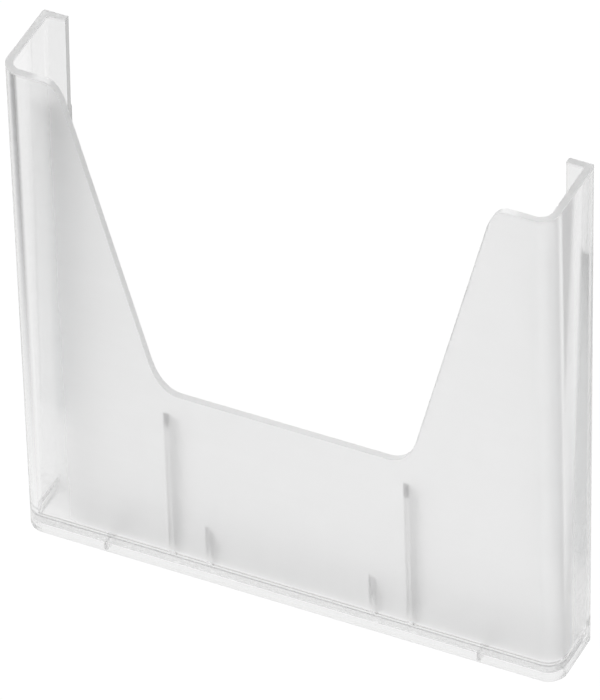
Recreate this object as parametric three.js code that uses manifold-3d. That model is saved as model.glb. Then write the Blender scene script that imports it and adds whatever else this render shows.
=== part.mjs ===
// Clear moulded magazine pocket for a wall or door: one open-backed shell, two strips of clear tape on the
// backs of its flanges, and the release liners that cover the tape until the pocket is put up.
//
// Millimetres, +Z up. The front faces -Y. The plane y = 0 is the wall, x = 0 is the middle of the pocket and
// z = 0 is its underside.
import * as THREE from "three";
import { mergeVertices } from "three/addons/utils/BufferGeometryUtils.js";
import Module from "manifold-3d";

const wasm = await Module();
wasm.setup();

// ---- driving dimensions ----

// the pocket
const WIDTH = 230; // outside, so that 216 mm wide paper drops in
const HEIGHT = 238;
const DEPTH_TOP = 40; // flange back to the face of the front panel, at the rim
const DEPTH_BOTTOM = 30.5; // the same at the floor: the front panel leans out
const WALL = 3;
const FLOOR = 3;
const FLOOR_TOP = 7.4; // the floor is raised, and the walls run on below it as a skirt
const FRONT_CORNER_R = 8; // upright front corners, outside
const BACK_CORNER_R = 1; // upright back corners, outside
const BOTTOM_EDGE_R = 1.5; // outer edge between walls and underside
const FLOOR_FILLET_R = 1.5; // inside, between walls and floor
const FLANGE_WIDTH = 10.5; // outer side to the flange's free edge

// the cut-out in the front panel
const CUT_BOTTOM_Z = 94.5;
const CUT_HALF_BOTTOM = 53;
const CUT_HALF_TOP = 90.8;
const FOOT_BLEND = 9.3; // where its lower corners start to turn, along the level edge
const FOOT_BLEND_UP = 15; // and up the slope
const EAR_BLEND = 6; // the same where it meets the rim, along the rim
const EAR_BLEND_DOWN = 10.7; // and down the slope

// the ribs inside the front panel
const RIB_THICKNESS = 2.3;
const RIB_DEPTH = 8;
const LONG_RIB_X = 51;
const LONG_RIB_TOP_Z = 83;
const LONG_RIB_SLOPE = 11; // how far its top falls away from the panel
const SHORT_RIB_X = 35;
const SHORT_RIB_TOP_Z = 29;
const SHORT_RIB_SLOPE = 18;

// the two thin ribs under the floor
const SKIRT_RIB_X = 80;
const SKIRT_RIB_THICKNESS = 1.2;
const SKIRT_RIB_Z = 0.3; // they stop this far above the underside

// the tape and its liners
const TAPE_WIDTH = 9;
const TAPE_LENGTH = 150;
const TAPE_THICKNESS = 1;
const TAPE_END_R = 0.8;
const LINER_THICKNESS = 0.2;
const LINER_TAB = 8; // finger tab past the lower end of the tape
const LINER_TAB_R = 3.5;

// ---- worked out from them ----

const halfWidth = WIDTH / 2;
const backY = -TAPE_THICKNESS; // the back of the flanges and of the floor
const rimFrontY = backY - DEPTH_TOP;
const leanPerMm = (DEPTH_TOP - DEPTH_BOTTOM) / HEIGHT;
const midY = backY - DEPTH_BOTTOM / 2;
const tapeX = (WIDTH - FLANGE_WIDTH - BACK_CORNER_R) / 2; // the middle of the flange's flat back
const tapeZ = (HEIGHT - TAPE_LENGTH) / 2;
const ARC_STEPS = 10; // for a quarter of a circle
const BEVEL_STEPS = 5;
const PAST = 5; // how far a cutting solid runs past what it cuts

// y of the front panel's outer face at height z
const frontY = (z) => rimFrontY + leanPerMm * (HEIGHT - z);

// ---- solids ----

function solidFrom(geometry) {
  const bare = new THREE.BufferGeometry();
  const flat = geometry.index ? geometry.toNonIndexed() : geometry;
  bare.setAttribute("position", flat.getAttribute("position"));
  const merged = mergeVertices(bare, 1e-4);
  return new wasm.Manifold(
    new wasm.Mesh({
      numProp: 3,
      vertProperties: new Float32Array(merged.getAttribute("position").array),
      triVerts: new Uint32Array(merged.index.array),
    }),
  );
}

function geometryFrom(solid) {
  const mesh = solid.getMesh();
  const geometry = new THREE.BufferGeometry();
  geometry.setAttribute("position", new THREE.BufferAttribute(mesh.vertProperties, 3));
  geometry.setIndex(new THREE.BufferAttribute(mesh.triVerts, 1));
  const flat = geometry.toNonIndexed();
  flat.computeVertexNormals();
  return flat;
}

function block(x0, x1, y0, y1, z0, z1) {
  const box = new THREE.BoxGeometry(x1 - x0, y1 - y0, z1 - z0);
  box.translate((x0 + x1) / 2, (y0 + y1) / 2, (z0 + z1) / 2);
  return solidFrom(box);
}

// A plan outline, straight at the back and round at both front corners, raised into a solid whose lower edge is
// rounded by edgeR and whose front leans out towards the rim.
function leaningPrism(half, y0, y1, cornerR, z0, z1, edgeR) {
  const plan = new THREE.Shape();
  plan.moveTo(half, y1);
  plan.lineTo(-half, y1);
  plan.lineTo(-half, y0 + cornerR);
  plan.absarc(-half + cornerR, y0 + cornerR, cornerR, Math.PI, 1.5 * Math.PI, false);
  plan.lineTo(half - cornerR, y0);
  plan.absarc(half - cornerR, y0 + cornerR, cornerR, 1.5 * Math.PI, 2 * Math.PI, false);
  const geometry = new THREE.ExtrudeGeometry(plan, {
    depth: z1 - z0 - 2 * edgeR,
    curveSegments: ARC_STEPS,
    bevelEnabled: edgeR > 0,
    bevelThickness: edgeR,
    bevelSize: edgeR,
    bevelOffset: -edgeR,
    bevelSegments: BEVEL_STEPS,
  });
  geometry.translate(0, 0, z0 + edgeR);
  const position = geometry.getAttribute("position");
  for (let i = 0; i < position.count; i++) {
    if (position.getY(i) < midY) {
      position.setY(i, position.getY(i) + leanPerMm * (HEIGHT - position.getZ(i)));
    }
  }
  return solidFrom(geometry);
}

// What lies between the side faces, in front of the flange backs and below the rim, with round back corners.
function envelope() {
  const r = BACK_CORNER_R;
  const plan = new THREE.Shape();
  plan.moveTo(halfWidth, rimFrontY - PAST);
  plan.lineTo(halfWidth, backY - r);
  plan.absarc(halfWidth - r, backY - r, r, 0, Math.PI / 2, false);
  plan.lineTo(-halfWidth + r, backY);
  plan.absarc(-halfWidth + r, backY - r, r, Math.PI / 2, Math.PI, false);
  plan.lineTo(-halfWidth, rimFrontY - PAST);
  const geometry = new THREE.ExtrudeGeometry(plan, {
    depth: HEIGHT + PAST,
    curveSegments: BEVEL_STEPS,
    bevelEnabled: false,
  });
  geometry.translate(0, 0, -PAST);
  return solidFrom(geometry);
}

// The V-shaped cut-out, with smooth lower corners, that opens through the rim between two smooth ears.
function cutOut() {
  const top = HEIGHT + PAST;
  const reach = halfWidth + PAST;
  const foot = new THREE.Vector2(CUT_HALF_BOTTOM, CUT_BOTTOM_Z);
  const ear = new THREE.Vector2(CUT_HALF_TOP, HEIGHT);
  const upSlope = ear.clone().sub(foot).normalize();
  const footUp = foot.clone().addScaledVector(upSlope, FOOT_BLEND_UP);
  const earDown = ear.clone().addScaledVector(upSlope, -EAR_BLEND_DOWN);
  const outline = new THREE.Shape();
  outline.moveTo(reach, top);
  outline.lineTo(reach, HEIGHT);
  outline.lineTo(ear.x + EAR_BLEND, HEIGHT);
  outline.quadraticCurveTo(ear.x, ear.y, earDown.x, earDown.y);
  outline.lineTo(footUp.x, footUp.y);
  outline.quadraticCurveTo(foot.x, foot.y, foot.x - FOOT_BLEND, foot.y);
  outline.lineTo(-foot.x + FOOT_BLEND, foot.y);
  outline.quadraticCurveTo(-foot.x, foot.y, -footUp.x, footUp.y);
  outline.lineTo(-earDown.x, earDown.y);
  outline.quadraticCurveTo(-ear.x, ear.y, -ear.x - EAR_BLEND, HEIGHT);
  outline.lineTo(-reach, HEIGHT);
  outline.lineTo(-reach, top);
  const thickness = DEPTH_TOP - DEPTH_BOTTOM + 2 * WALL + PAST;
  const geometry = new THREE.ExtrudeGeometry(outline, {
    depth: thickness,
    curveSegments: ARC_STEPS,
    bevelEnabled: false,
  });
  geometry.rotateX(Math.PI / 2);
  geometry.translate(0, rimFrontY - PAST + thickness, 0);
  return solidFrom(geometry);
}

// An upright rib across the corner between front panel and floor. Its top falls away from the panel by slope.
function rib(x, topZ, slope) {
  const inside = (z) => frontY(z) + WALL;
  const bite = WALL / 2;
  const foot = FLOOR_TOP - FLOOR / 2;
  const side = new THREE.Shape();
  side.moveTo(inside(foot) - bite, foot);
  side.lineTo(inside(foot) + RIB_DEPTH, foot);
  side.lineTo(inside(topZ - slope) + RIB_DEPTH, topZ - slope);
  side.lineTo(inside(topZ), topZ);
  side.lineTo(inside(topZ) - bite, topZ);
  const geometry = new THREE.ExtrudeGeometry(side, { depth: RIB_THICKNESS, bevelEnabled: false });
  // the outline's axes become Y and Z, and the extrusion runs along X
  geometry.applyMatrix4(new THREE.Matrix4().set(0, 0, 1, 0, 1, 0, 0, 0, 0, 1, 0, 0, 0, 0, 0, 1));
  geometry.translate(x - RIB_THICKNESS / 2, 0, 0);
  return solidFrom(geometry);
}

function pocketShell() {
  const insideHalf = halfWidth - WALL;
  const insideY = rimFrontY + WALL;
  const insideR = FRONT_CORNER_R - WALL;
  const past = backY + PAST;
  const outer = leaningPrism(
    halfWidth, rimFrontY, past, FRONT_CORNER_R, 0, HEIGHT + PAST, BOTTOM_EDGE_R,
  );
  const above = leaningPrism(
    insideHalf, insideY, past + PAST, insideR, FLOOR_TOP, HEIGHT + 3 * PAST, FLOOR_FILLET_R,
  );
  const below = leaningPrism(insideHalf, insideY, past + PAST, insideR, -PAST, FLOOR_TOP - FLOOR, 0);
  let shell = outer.subtract(above).subtract(below);
  for (const side of [-1, 1]) {
    const edges = [side * (halfWidth - FLANGE_WIDTH), side * (halfWidth - WALL / 2)].sort((a, b) => a - b);
    const skirtRib = side * SKIRT_RIB_X;
    shell = shell.add(block(edges[0], edges[1], backY - WALL, past, 0, HEIGHT + PAST));
    shell = shell.add(rib(side * LONG_RIB_X, LONG_RIB_TOP_Z, LONG_RIB_SLOPE));
    shell = shell.add(rib(side * SHORT_RIB_X, SHORT_RIB_TOP_Z, SHORT_RIB_SLOPE));
    shell = shell.add(
      block(
        skirtRib - SKIRT_RIB_THICKNESS / 2, skirtRib + SKIRT_RIB_THICKNESS / 2,
        frontY(0) + WALL / 2, past, SKIRT_RIB_Z, FLOOR_TOP - FLOOR / 2,
      ),
    );
  }
  return shell.intersect(envelope()).subtract(cutOut());
}

// A flat strip in the plane of the wall, from y0 to y1, with round corners at each end.
function strip(width, z0, z1, lowerR, upperR, y0, y1) {
  const half = width / 2;
  const outline = new THREE.Shape();
  outline.moveTo(half, z0 + lowerR);
  outline.lineTo(half, z1 - upperR);
  outline.absarc(half - upperR, z1 - upperR, upperR, 0, Math.PI / 2, false);
  outline.lineTo(-half + upperR, z1);
  outline.absarc(-half + upperR, z1 - upperR, upperR, Math.PI / 2, Math.PI, false);
  outline.lineTo(-half, z0 + lowerR);
  outline.absarc(-half + lowerR, z0 + lowerR, lowerR, Math.PI, 1.5 * Math.PI, false);
  outline.lineTo(half - lowerR, z0);
  outline.absarc(half - lowerR, z0 + lowerR, lowerR, 1.5 * Math.PI, 2 * Math.PI, false);
  const geometry = new THREE.ExtrudeGeometry(outline, {
    depth: y1 - y0,
    curveSegments: BEVEL_STEPS,
    bevelEnabled: false,
  });
  geometry.rotateX(Math.PI / 2);
  geometry.translate(0, y1, 0);
  return geometry;
}

// ---- the assembly ----

const clearPlastic = new THREE.MeshStandardMaterial({
  color: 0xe9ebec,
  roughness: 0.2,
  metalness: 0,
  transparent: true,
  opacity: 0.4,
});
const clearTape = clearPlastic.clone();
clearTape.roughness = 0.5;
const linerFilm = clearPlastic.clone();
linerFilm.color.set(0xe0e8ec);

function piece(name, geometry, material) {
  const mesh = new THREE.Mesh(geometry, material);
  mesh.name = name;
  return mesh;
}

const pocket = new THREE.Group();
pocket.add(piece("pocket_shell", geometryFrom(pocketShell()), clearPlastic));

for (const [hand, side] of [["left", -1], ["right", 1]]) {
  const flangeBack = new THREE.Group();
  flangeBack.position.x = side * tapeX;
  flangeBack.add(
    piece(
      hand + "_tape",
      strip(TAPE_WIDTH, tapeZ, tapeZ + TAPE_LENGTH, TAPE_END_R, TAPE_END_R, backY, 0),
      clearTape,
    ),
    piece(
      hand + "_liner",
      strip(TAPE_WIDTH, tapeZ - LINER_TAB, tapeZ + TAPE_LENGTH, LINER_TAB_R, TAPE_END_R, 0, LINER_THICKNESS),
      linerFilm,
    ),
  );
  pocket.add(flangeBack);
}

export default pocket;
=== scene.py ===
import math

import bmesh
import bpy
from mathutils import Matrix, Quaternion, Vector


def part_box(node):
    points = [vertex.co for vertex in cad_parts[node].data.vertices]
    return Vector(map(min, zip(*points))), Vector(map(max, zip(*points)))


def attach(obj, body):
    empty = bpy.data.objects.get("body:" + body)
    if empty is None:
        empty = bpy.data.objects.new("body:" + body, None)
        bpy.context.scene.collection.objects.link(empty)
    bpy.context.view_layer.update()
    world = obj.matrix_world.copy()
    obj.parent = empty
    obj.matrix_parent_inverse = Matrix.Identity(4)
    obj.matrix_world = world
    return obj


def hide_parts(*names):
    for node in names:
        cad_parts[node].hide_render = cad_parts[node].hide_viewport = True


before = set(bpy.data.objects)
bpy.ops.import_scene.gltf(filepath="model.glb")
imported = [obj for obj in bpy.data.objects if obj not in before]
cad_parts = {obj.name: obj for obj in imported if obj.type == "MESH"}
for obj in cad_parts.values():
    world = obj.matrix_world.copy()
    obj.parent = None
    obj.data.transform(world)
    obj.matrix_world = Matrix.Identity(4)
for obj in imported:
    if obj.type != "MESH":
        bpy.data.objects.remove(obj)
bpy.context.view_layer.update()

# Camera. It looks down on the front from the pocket's right, from far off through a long lens, so that the
# uprights stay parallel and both side walls are seen at nearly the same slant.
AZIMUTH = math.radians(25.335)
ELEVATION = math.radians(39.946)
ROLL = math.radians(-0.718)
DISTANCE = 4.6075
LENS = 617.14
AIM = Vector((0, -0.019, 0.12145))

camera = bpy.data.objects.new("camera", bpy.data.cameras.new("camera"))
camera.data.sensor_width = 36
camera.data.lens = LENS
camera.data.clip_end = 30
towards_camera = Vector((
    math.sin(AZIMUTH) * math.cos(ELEVATION),
    -math.cos(AZIMUTH) * math.cos(ELEVATION),
    math.sin(ELEVATION),
))
turn = towards_camera.to_track_quat("Z", "Y") @ Quaternion((0, 0, 1), ROLL)
camera.matrix_world = Matrix.LocRotScale(AIM + towards_camera * DISTANCE, turn, None)
bpy.context.scene.collection.objects.link(camera)
bpy.context.scene.camera = camera

# Studio. The pocket stands on a pale lit table under a pale tent, and the camera sees both as plain white.
# The plastic sees a table that is brightest round and behind the pocket and falls away to its front left,
# which draws the dark lines in the corners of clear plastic. A large soft lamp stands at the front left.
LIGHT_BOUNCES = 128 # light runs a long way down inside a clear wall before it comes out
TABLE_SIZE = 8
TABLE_DROP = 0.0005
SEEN_WHITE = 1.02
TABLE_NEAR = 0.93
TABLE_FRONT_LEFT = 0.36
FALL_OFF = (-0.42, -0.12) # in metres to the left, where the table is at its darkest and at its brightest
FALL_OFF_FORWARD = 0.7 # how much a step forward counts as a step to the left
TENT_BRIGHTNESS = 0.95
LAMP_AT = Vector((-1.2, -1.8, 1.2))
LAMP_SIZE = 1.5
LAMP_WATTS = 16


class Shade:
    """One socket of a material. Expressions of Shades become Math nodes, and node() adds any other node."""

    def __init__(self, tree, socket):
        self.tree, self.socket = tree, socket

    def node(self, kind, inputs, output=0, **settings):
        made = self.tree.nodes.new(kind)
        for name, value in settings.items():
            setattr(made, name, value)
        for key, value in inputs.items():
            if isinstance(value, Shade):
                self.tree.links.new(value.socket, made.inputs[key])
            else:
                made.inputs[key].default_value = value
        return Shade(self.tree, made.outputs[output])

    def maths(self, operation, a, b=0.0):
        return self.node("ShaderNodeMath", {0: a, 1: b}, operation=operation)

    def __add__(self, other):
        return self.maths("ADD", self, other)

    def __sub__(self, other):
        return self.maths("SUBTRACT", self, other)

    def __rsub__(self, other):
        return self.maths("SUBTRACT", other, self)

    def __mul__(self, other):
        return self.maths("MULTIPLY", self, other)

    def __abs__(self):
        return self.maths("ABSOLUTE", self)

    __radd__, __rmul__ = __add__, __mul__

    def feed(self, node, name):
        self.tree.links.new(self.socket, node.inputs[name])

    def ramp(self, start, end, low=0.0, high=1.0):
        """Low up to start, high from end, and a smooth slope between them."""
        return self.node(
            "ShaderNodeMapRange",
            {"Value": self, "From Min": start, "From Max": end, "To Min": low, "To Max": high},
            interpolation_type="SMOOTHSTEP",
        )

    def noise(self, scale, detail):
        return self.node("ShaderNodeTexNoise", {"Vector": self, "Scale": scale, "Detail": detail})

    def stretched(self, x, y, z):
        return self.node("ShaderNodeMapping", {"Vector": self, "Scale": (x, y, z)})

    def axis(self, number):
        return self.node("ShaderNodeSeparateXYZ", {0: self}, number)

    def bump(self, strength, distance):
        return self.node("ShaderNodeBump", {"Height": self, "Strength": strength, "Distance": distance})


def place_on(tree):
    """The place on the piece, in metres."""
    return Shade(tree, tree.nodes.new("ShaderNodeTexCoord").outputs["Object"])


def seen_by_camera(tree):
    """1 where the camera looks straight at the surface, 0 for light that goes through or off the plastic."""
    return Shade(tree, tree.nodes.new("ShaderNodeLightPath").outputs["Is Camera Ray"])


bpy.context.scene.view_settings.view_transform = "Standard"
bpy.context.scene.cycles.max_bounces = LIGHT_BOUNCES
bpy.context.scene.cycles.transmission_bounces = LIGHT_BOUNCES
bpy.context.scene.cycles.glossy_bounces = LIGHT_BOUNCES

tent = bpy.data.worlds.new("tent")
tent.use_nodes = True
tree = tent.node_tree
cloth = tree.nodes["Background"]
cloth.inputs["Color"].default_value = (1, 1, 1, 1)
(seen_by_camera(tree) * (1 - TENT_BRIGHTNESS) + TENT_BRIGHTNESS).feed(cloth, "Strength")
bpy.context.scene.world = tent

table_mesh = bpy.data.meshes.new("table")
bm = bmesh.new()
bmesh.ops.create_grid(bm, x_segments=1, y_segments=1, size=TABLE_SIZE / 2)
bmesh.ops.translate(bm, verts=bm.verts, vec=(0, 0, -TABLE_DROP))
bm.to_mesh(table_mesh)
bm.free()
table = bpy.data.objects.new("table", table_mesh)
bpy.context.scene.collection.objects.link(table)
glow = bpy.data.materials.new("lit table")
glow.use_nodes = True
tree = glow.node_tree
tree.nodes.clear()
out = tree.nodes.new("ShaderNodeOutputMaterial")
place = place_on(tree)
seen = seen_by_camera(tree)
to_the_right = place.axis(0) + place.axis(1) * FALL_OFF_FORWARD
thrown = to_the_right.ramp(*FALL_OFF, TABLE_FRONT_LEFT, TABLE_NEAR)
strength = seen * SEEN_WHITE + (1 - seen) * thrown
seen.node("ShaderNodeEmission", {"Strength": strength}).feed(out, "Surface")
table_mesh.materials.append(glow)

lamp = bpy.data.objects.new("lamp", bpy.data.lights.new("lamp", "AREA"))
lamp.data.size = LAMP_SIZE
lamp.data.energy = LAMP_WATTS
lamp.matrix_world = Matrix.LocRotScale(LAMP_AT, (LAMP_AT - AIM).to_track_quat("Z", "Y"), None)
bpy.context.scene.collection.objects.link(lamp)

# Pocket. One injection moulding in clear polystyrene: front panel, side walls, floor, rear flanges and ribs
# all run into each other, 3 mm thick, with round outer corners and small rounds on every moulded edge. The
# floor is raised a little, so that the walls run on below it as a skirt.
MM = 0.001
WALL = 3 * MM
FLOOR_TOP = 7.4 * MM
FRONT_CORNER_R = 8 * MM
BACK_CORNER_R = 1 * MM
BOTTOM_EDGE_R = 1.5 * MM
FLOOR_FILLET_R = 1.5 * MM
FLANGE_WIDTH = 10.5 * MM
DEPTH_BOTTOM = 30.5 * MM
CUT_BOTTOM_Z = 94.5 * MM
CUT_HALF_BOTTOM = 53 * MM
CUT_HALF_TOP = 90.8 * MM
FOOT_BLEND = 9.3 * MM
FOOT_BLEND_UP = 15 * MM
EAR_BLEND = 6 * MM
EAR_BLEND_DOWN = 10.7 * MM
RIB_THICKNESS = 2.3 * MM
RIB_DEPTH = 8 * MM
LONG_RIB = dict(x=51 * MM, top=83 * MM, slope=11 * MM)
SHORT_RIB = dict(x=35 * MM, top=29 * MM, slope=18 * MM)
SKIRT_RIB_X = 80 * MM
SKIRT_RIB_THICKNESS = 1.2 * MM
SKIRT_RIB_Z = 0.3 * MM
EDGE_ROUND = 0.45 * MM
EDGE_ANGLE = math.radians(32) # sharper turns than this are moulded edges
PAST = 5 * MM # how far a cutting block runs past what it cuts

shell_low, shell_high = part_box("pocket_shell")
half_width = shell_high.x
rim_z = shell_high.z
back_y = shell_high.y
rim_front_y = shell_low.y
lean = (back_y - rim_front_y - DEPTH_BOTTOM) / rim_z


def front_y(z):
    return rim_front_y + lean * (rim_z - z)


def inside_y(z):
    return front_y(z) + WALL


def put(name, bm):
    mesh = bpy.data.meshes.new(name)
    bm.to_mesh(mesh)
    bm.free()
    made = bpy.data.objects.new(name, mesh)
    bpy.context.scene.collection.objects.link(made)
    return made


def block(low, high):
    bm = bmesh.new()
    bmesh.ops.create_cube(bm, size=1)
    size = Vector(high) - Vector(low)
    bmesh.ops.scale(bm, verts=bm.verts, vec=size)
    bmesh.ops.translate(bm, verts=bm.verts, vec=(Vector(low) + Vector(high)) / 2)
    return bm


def round_off(bm, edges, radius, segments):
    bmesh.ops.bevel(
        bm, geom=edges, offset=radius, offset_type="OFFSET", affect="EDGES",
        segments=segments, profile=0.5, material=-1, clamp_overlap=False,
    )


def uprights(bm, is_there):
    """The upright edges whose ends are all where is_there says."""
    return [e for e in bm.edges if all(is_there(v.co) for v in e.verts)
            and abs(e.verts[0].co.z - e.verts[1].co.z) > MM]


def leaning_block(half, y0, y1, corner_r, z0, z1, edge_r):
    """A block whose front leans out, with round front uprights and a round edge along its foot."""
    bm = block((-half, y0, z0), (half, y1, z1))
    for v in bm.verts:
        if v.co.y < y0 + MM:
            v.co.y += lean * (rim_z - v.co.z)
    round_off(bm, uprights(bm, lambda at: at.y < y1 - MM), corner_r, segments=16)
    if edge_r:
        foot = [e for e in bm.edges if all(v.co.z < z0 + 0.01 * MM for v in e.verts)
                and not all(v.co.y > y1 - MM for v in e.verts)]
        round_off(bm, foot, edge_r, segments=8)
    return bm


def join(target, name, other, operation):
    """Applies an exact Boolean with the other solid, which is used up."""
    tool = put(name, other)
    cut = target.modifiers.new(operation.lower(), "BOOLEAN")
    cut.operation = operation
    cut.solver = "EXACT"
    cut.object = tool
    evaluated = target.evaluated_get(bpy.context.evaluated_depsgraph_get())
    mesh = bpy.data.meshes.new_from_object(evaluated)
    target.modifiers.clear()
    old = target.data
    target.data = mesh
    bpy.data.meshes.remove(old)
    bpy.data.meshes.remove(tool.data)


def blend(corner, start, end, steps):
    """A smooth turn round a corner, from start to end, as points on a quadratic curve."""
    for i in range(steps + 1):
        t = i / steps
        yield start * (1 - t) ** 2 + corner * 2 * t * (1 - t) + end * t ** 2


def raised(outline, along, by):
    """A prism: the outline's face swept by a length along an axis."""
    bm = bmesh.new()
    bm.faces.new([bm.verts.new(at) for at in outline])
    side = bmesh.ops.extrude_face_region(bm, geom=bm.faces[:])
    moved = [v for v in side["geom"] if isinstance(v, bmesh.types.BMVert)]
    bmesh.ops.translate(bm, verts=moved, vec=Vector(along) * by)
    bmesh.ops.recalc_face_normals(bm, faces=bm.faces)
    return bm


def cut_out():
    """The V-shaped cut-out as a prism that runs through the front panel and out of the rim."""
    reach = half_width + PAST
    foot = Vector((CUT_HALF_BOTTOM, CUT_BOTTOM_Z))
    ear = Vector((CUT_HALF_TOP, rim_z))
    up_slope = (ear - foot).normalized()
    level = Vector((1, 0))
    right = [Vector((0, CUT_BOTTOM_Z))]
    right += blend(foot, foot - level * FOOT_BLEND, foot + up_slope * FOOT_BLEND_UP, steps=20)
    right += blend(ear, ear - up_slope * EAR_BLEND_DOWN, ear + level * EAR_BLEND, steps=16)
    right += [Vector((reach, rim_z)), Vector((reach, rim_z + 4 * PAST))]
    outline = [(p.x, p.y) for p in right] + [(-p.x, p.y) for p in reversed(right[1:])]
    depth = front_y(CUT_BOTTOM_Z) - rim_front_y + WALL + 2 * PAST
    return raised([(x, rim_front_y - PAST, z) for x, z in outline], (0, 1, 0), depth)


def rib(side, x, top, slope):
    """An upright rib inside the front panel, whose top falls away from the panel."""
    bite = WALL / 2
    foot = FLOOR_TOP - WALL / 2
    outline = [
        (inside_y(foot) - bite, foot),
        (inside_y(foot) + RIB_DEPTH, foot),
        (inside_y(top - slope) + RIB_DEPTH, top - slope),
        (inside_y(top), top),
        (inside_y(top) - bite, top),
    ]
    edge_x = side * x - RIB_THICKNESS / 2
    return raised([(edge_x, y, z) for y, z in outline], (1, 0, 0), RIB_THICKNESS)


def flange(side):
    """A flange from inside its side wall to its free edge, the full height of the pocket and past it."""
    edges = (side * (half_width - FLANGE_WIDTH), side * (half_width - WALL / 2))
    return block((min(edges), back_y - WALL, 0), (max(edges), back_y + PAST, rim_z + PAST))


def skirt_rib(side):
    """A thin rib under the floor, from the front wall to the back."""
    left = side * SKIRT_RIB_X - SKIRT_RIB_THICKNESS / 2
    right = side * SKIRT_RIB_X + SKIRT_RIB_THICKNESS / 2
    return block((left, front_y(0) + WALL / 2, SKIRT_RIB_Z), (right, back_y, FLOOR_TOP - WALL / 2))


hollow = (half_width - WALL, rim_front_y + WALL, back_y + 3 * PAST, FRONT_CORNER_R - WALL)
shell = put("pocket", leaning_block(
    half_width, rim_front_y, back_y + PAST, FRONT_CORNER_R, 0, rim_z + PAST, BOTTOM_EDGE_R))
above_floor = leaning_block(*hollow, FLOOR_TOP, rim_z + 3 * PAST, FLOOR_FILLET_R)
below_floor = leaning_block(*hollow, -PAST, FLOOR_TOP - WALL, 0)
join(shell, "above the floor", above_floor, "DIFFERENCE")
join(shell, "below the floor", below_floor, "DIFFERENCE")
for side in (-1, 1):
    join(shell, "flange", flange(side), "UNION")
    join(shell, "long rib", rib(side, **LONG_RIB), "UNION")
    join(shell, "short rib", rib(side, **SHORT_RIB), "UNION")
    join(shell, "skirt rib", skirt_rib(side), "UNION")
trimmed = block((-half_width, rim_front_y - PAST, -PAST), (half_width, back_y, rim_z))
round_off(trimmed, uprights(trimmed, lambda at: at.y > back_y - MM), BACK_CORNER_R, segments=6)
join(shell, "trimmed back and rim", trimmed, "INTERSECT")
join(shell, "cut-out", cut_out(), "DIFFERENCE")

shell.modifiers.new("many-sided faces split", "TRIANGULATE")
rounds = shell.modifiers.new("moulded edges", "BEVEL")
rounds.width = EDGE_ROUND
rounds.segments = 3
rounds.limit_method = "ANGLE"
rounds.angle_limit = EDGE_ANGLE
shell.data.shade_smooth()
flat = shell.modifiers.new("flat faces stay flat", "WEIGHTED_NORMAL")
flat.mode = "FACE_AREA"
flat.weight = 100

FRONT_Y = (-22 * MM, -18 * MM) # before the first counts as the front, after the second as the sides
# painted shade: the next line is the height of a thin dark line drawn into the colour on the outer face
PAINTED_SHADE_LINE_Z = 9.4 * MM # where the floor's front edge shows, on the outer face
REFRACTION = 1.5
POLISH = 0.05 # roughness of the clear corners and side walls, which the next six add to
RIM_ROUGHNESS = 0.5
SKIRT_ROUGHNESS = 0.2
CUT_ROUGHNESS = 0.3
PANEL_HAZE = 0.30
PANEL_MOTTLE = 0.12
RIGHT_SIDE_HAZE = 0.2
CLEARNESS = 0.965 # how white the plastic's colour is, which the next five change
RIPPLE_PALER = 0.03
SPECKS_DARKER = 0.02
# painted shade: how much the thin line at the floor's edge darkens the colour
FLOOR_LINE_PAINTED_SHADE = 0.55
# painted shade: how much darker the side walls, flanges and back are drawn than the front panel
SIDES_PAINTED_SHADE = 0.05
# painted shade: how much darker the skirt under the floor is drawn
SKIRT_PAINTED_SHADE = 0.02
RIPPLE_HEIGHT = 0.6
GRAIN_HEIGHT = 0.05
FROST_WHITE = 0.93
FROST_ROUGHNESS = 0.6
FROSTING = 0.38 # how much of the rim and the cut faces is frosted
TAKEN_UP = dict(Color=(0.5, 0.5, 0.5, 1), Density=2) # light that the plastic takes up on its way through


def see_through(name, refraction):
    """A new clear material, its nodes and its main shader."""
    made = bpy.data.materials.new(name)
    made.use_nodes = True
    shader = made.node_tree.nodes["Principled BSDF"]
    shader.inputs["Transmission Weight"].default_value = 1
    shader.inputs["IOR"].default_value = refraction
    return made, made.node_tree, shader


# the moulding's regions: 1 inside each, with a soft border
clear, tree, plastic = see_through("clear polystyrene", REFRACTION)
place = place_on(tree)
x, y, z = (place.axis(number) for number in range(3))
facing = Shade(tree, tree.nodes.new("ShaderNodeNewGeometry").outputs["Normal"])
edge_on = abs(facing.axis(1)).ramp(0.5, 0.8, 1.0, 0.0)
front = y.ramp(*FRONT_Y, 1.0, 0.0)
right_side = x.ramp(half_width - 5 * MM, half_width - 2 * MM)
past_left_corner = x.ramp(8 * MM - half_width, 30 * MM - half_width)
above_foot = z.ramp(FLOOR_TOP + 2 * MM, FLOOR_TOP + 6 * MM)
above_cut = z.ramp(CUT_BOTTOM_Z - 2 * MM, CUT_BOTTOM_Z - 1 * MM)
between_ears = abs(x).ramp(CUT_HALF_TOP + 8 * MM, CUT_HALF_TOP + 12 * MM, 1.0, 0.0)
cut_faces = edge_on * above_cut * between_ears * front
rim = z.ramp(rim_z - 1.2 * MM, rim_z - 0.6 * MM)
skirt = z.ramp(FLOOR_TOP - 3 * MM, FLOOR_TOP - 1 * MM, 1.0, 0.0)
# painted shade: a thin band drawn darker into the colour where the floor's front edge shows
painted_floor_line_shade = abs(z - PAINTED_SHADE_LINE_Z).ramp(0.15 * MM, 0.55 * MM, 1.0, 0.0) * front

# haze on the front panel and less of it on the right wall, and a rougher rim, skirt and cut-out edge
mottle = place.noise(90, 4)
panel_haze = front * (PANEL_HAZE + mottle * PANEL_MOTTLE)
side_haze = (1 - front) * right_side * RIGHT_SIDE_HAZE
haze = past_left_corner * above_foot * (panel_haze + side_haze)
roughness = POLISH + rim * RIM_ROUGHNESS + skirt * SKIRT_ROUGHNESS + haze + cut_faces * CUT_ROUGHNESS
roughness.feed(plastic, "Roughness")
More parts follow.
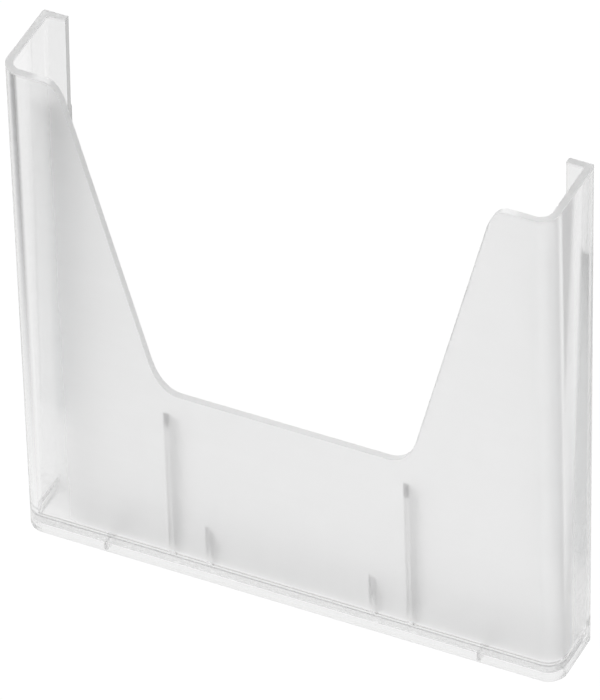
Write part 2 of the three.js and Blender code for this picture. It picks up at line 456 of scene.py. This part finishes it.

# faint level ripples and a few specks, and a thin line of painted shade where the floor's edge shows
ripple = place.stretched(14, 14, 220).noise(1.0, 3)
specks = place.noise(700, 2).ramp(0.70, 0.76)
ripples_specks_and_painted_line = ripple * RIPPLE_PALER - specks * SPECKS_DARKER - painted_floor_line_shade * FLOOR_LINE_PAINTED_SHADE
# painted shade: the side walls and flanges are drawn darker than the front panel
# painted shade: the skirt under the floor is drawn darker
clearness = CLEARNESS + ripples_specks_and_painted_line - (1 - front) * SIDES_PAINTED_SHADE - skirt * SKIRT_PAINTED_SHADE
colour = clearness.node("ShaderNodeCombineColor", {0: clearness, 1: clearness, 2: clearness})
colour.feed(plastic, "Base Color")
grain = ripple * RIPPLE_HEIGHT + place.noise(1400, 2) * GRAIN_HEIGHT
grain.bump(strength=0.2, distance=0.4 * MM).feed(plastic, "Normal")

# the rim and the cut faces are a little frosted, and the plastic itself takes up a little light
frosted = tree.nodes.new("ShaderNodeBsdfPrincipled")
frosted.inputs["Base Color"].default_value = (FROST_WHITE, FROST_WHITE, FROST_WHITE, 1)
frosted.inputs["Roughness"].default_value = FROST_ROUGHNESS
finishes = {1: Shade(tree, plastic.outputs[0]), 2: Shade(tree, frosted.outputs[0])}
surface = rim.node("ShaderNodeMixShader", {0: (rim + cut_faces) * FROSTING, **finishes})
surface.feed(tree.nodes["Material Output"], "Surface")
rim.node("ShaderNodeVolumeAbsorption", TAKEN_UP).feed(tree.nodes["Material Output"], "Volume")
shell.data.materials.clear()
shell.data.materials.append(clear)
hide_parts("pocket_shell")
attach(shell, "holder")

# Tapes. A strip of clear acrylic gel tape on the back of each flange, die-cut, with a few small air bubbles
# in it. A hair's breadth of air is left in front of and behind it, so that it reads as its own piece.
TAPE_EDGE_R = 0.15 * MM
TAPE_GAP = 0.04 * MM
TAPE_REFRACTION = 1.47
TAPE_CLEARNESS = 0.985
TAPE_RED = 0.995 # a little less red than green and blue
TAPE_POLISH = 0.12
TAPE_CLOUDS = 0.2
BUBBLES_DARKER = 0.06
BUBBLES_ROUGHER = 0.3

gel, tree, strip = see_through("clear gel tape", TAPE_REFRACTION)
place = place_on(tree)
bubbles = place.noise(900, 2).ramp(0.66, 0.72)
clearness = TAPE_CLEARNESS - bubbles * BUBBLES_DARKER
colour = clearness.node("ShaderNodeCombineColor", {0: clearness * TAPE_RED, 1: clearness, 2: clearness})
colour.feed(strip, "Base Color")
clouds = place.noise(200, 2) * TAPE_CLOUDS
(TAPE_POLISH + clouds + bubbles * BUBBLES_ROUGHER).feed(strip, "Roughness")
bubbles.bump(strength=0.2, distance=0.1 * MM).feed(strip, "Normal")

for node in ("left_tape", "right_tape"):
    low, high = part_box(node)
    bm = block((low.x, low.y + TAPE_GAP, low.z), (high.x, high.y - TAPE_GAP, high.z))
    round_off(bm, bm.edges[:], TAPE_EDGE_R, segments=2)
    made = put(node + "_strip", bm)
    made.data.shade_smooth()
    made.data.materials.append(gel)
    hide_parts(node)
    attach(made, "holder")

# Liners. Clear polyester film over each tape's outer face, faintly blue and a little scuffed, with a round
# finger tab below the tape's end. It is peeled off when the pocket is put up.
LINER_TAB_R = 3.5 * MM
LINER_END_R = 0.8 * MM
ON_END = 0.1 * MM # an edge is on the film's end if it is this near
FILM_CLEARNESS = 0.975
FILM_RED = 0.985 # less red and green than blue
FILM_GREEN = 0.995
FILM_POLISH = 0.05
SCUFFS_DARKER = 0.02
SCUFFS_ROUGHER = 0.25

film, tree, sheet = see_through("clear liner film", REFRACTION)
place = place_on(tree)
scuffs = place.stretched(200, 200, 2500).noise(1.0, 4)
tint = FILM_CLEARNESS - scuffs * SCUFFS_DARKER
colour = tint.node("ShaderNodeCombineColor", {0: tint * FILM_RED, 1: tint * FILM_GREEN, 2: tint})
colour.feed(sheet, "Base Color")
(FILM_POLISH + scuffs * SCUFFS_ROUGHER).feed(sheet, "Roughness")
place.noise(120, 2).bump(strength=0.25, distance=0.3 * MM).feed(sheet, "Normal")

for node in ("left_liner", "right_liner"):
    low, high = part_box(node)
    bm = block(low, high)
    for end_z, radius in ((low.z, LINER_TAB_R), (high.z, LINER_END_R)):
        corners = [e for e in bm.edges if all(abs(v.co.z - end_z) < ON_END for v in e.verts)
                   and abs(e.verts[0].co.y - e.verts[1].co.y) > ON_END]
        round_off(bm, corners, radius, segments=8)
    made = put(node + "_strip", bm)
    made.data.materials.append(film)
    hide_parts(node)
    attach(made, node)
